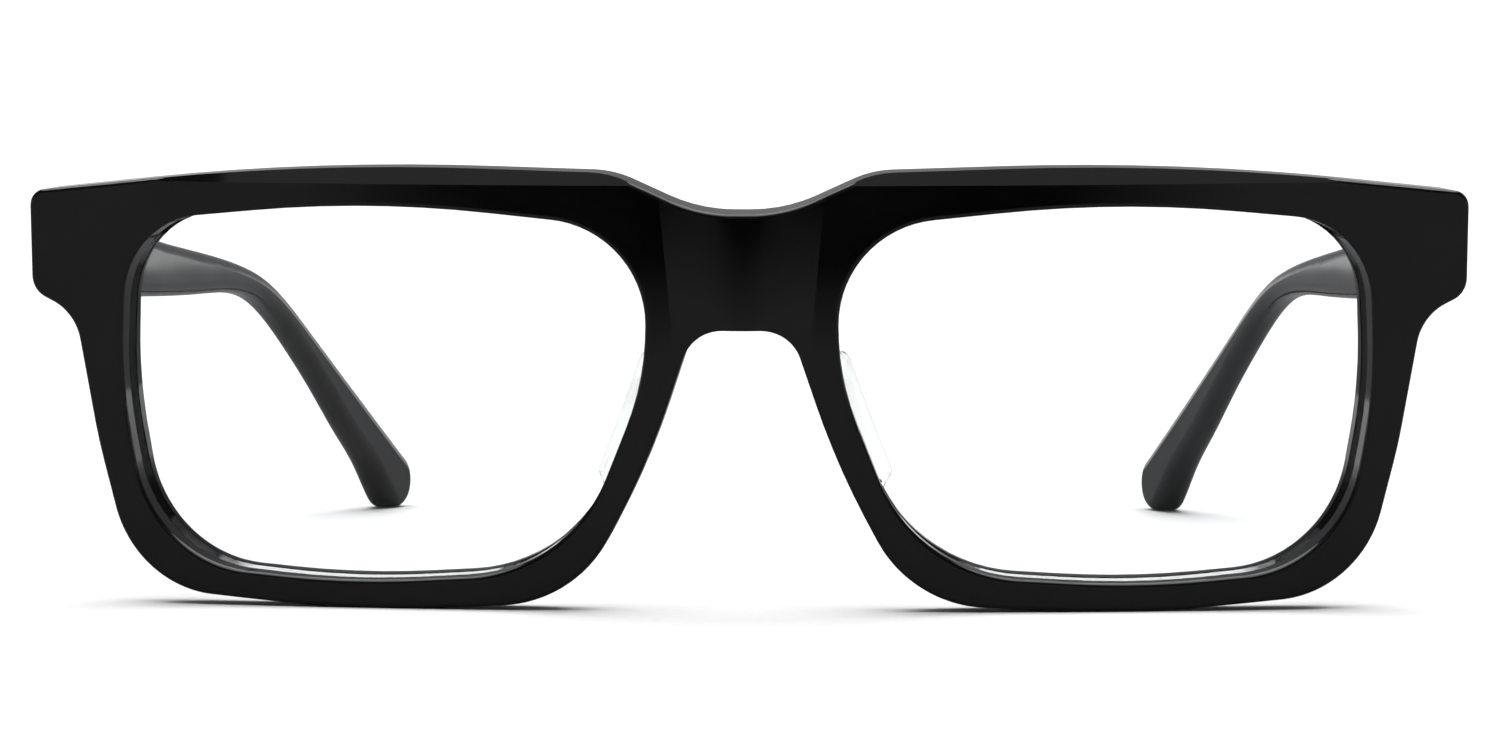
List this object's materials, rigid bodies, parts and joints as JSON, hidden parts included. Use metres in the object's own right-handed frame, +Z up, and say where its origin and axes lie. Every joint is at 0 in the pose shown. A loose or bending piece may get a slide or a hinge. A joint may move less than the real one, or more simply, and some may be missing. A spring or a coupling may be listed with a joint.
{
  "type": "eyeglasses",
  "caption": "Rectangular full-rim black acetate eyeglasses with clear lenses, bonded nose pads and folding temples on barrel hinges.",
  "frame": {"origin": "on the table, under the middle of the open frame's bounding box", "axes": "+X towards the wearer's left, -Y the way the front faces, +Z up, with the frame standing on its rims and temple tips"},
  "size_m": [0.1464, 0.1388, 0.0451],
  "materials": {
    "black_acetate": "polished",
    "clear_lens": "polished",
    "clear_pad": "satin",
    "hinge_metal": "satin",
    "core_wire": "drawn"
  },
  "bodies": {
    "front": {"front": "black_acetate", "lens_left": "clear_lens", "lens_right": "clear_lens", "nose_pad_left": "clear_pad", "nose_pad_right": "clear_pad", "hinge_front_leaf_left": "hinge_metal", "hinge_front_leaf_right": "hinge_metal", "hinge_screw_left": "hinge_metal", "hinge_screw_right": "hinge_metal"},
    "temple_left": {"hinge_temple_leaf_left": "hinge_metal", "temple_left": "black_acetate", "temple_core_left": "core_wire"},
    "temple_right": {"hinge_temple_leaf_right": "hinge_metal", "temple_right": "black_acetate", "temple_core_right": "core_wire"}
  },
  "joints": [
    {"name": "temple_left_fold", "type": "hinge", "parent": "front", "child": "temple_left", "pos_m": [0.06635, -0.0542, 0.03675], "axis": [0, 0, 1], "range_deg": [0, 83]},
    {"name": "temple_right_fold", "type": "hinge", "parent": "front", "child": "temple_right", "pos_m": [-0.06635, -0.0542, 0.03675], "axis": [0, 0, -1], "range_deg": [0, 79]}
  ]
}
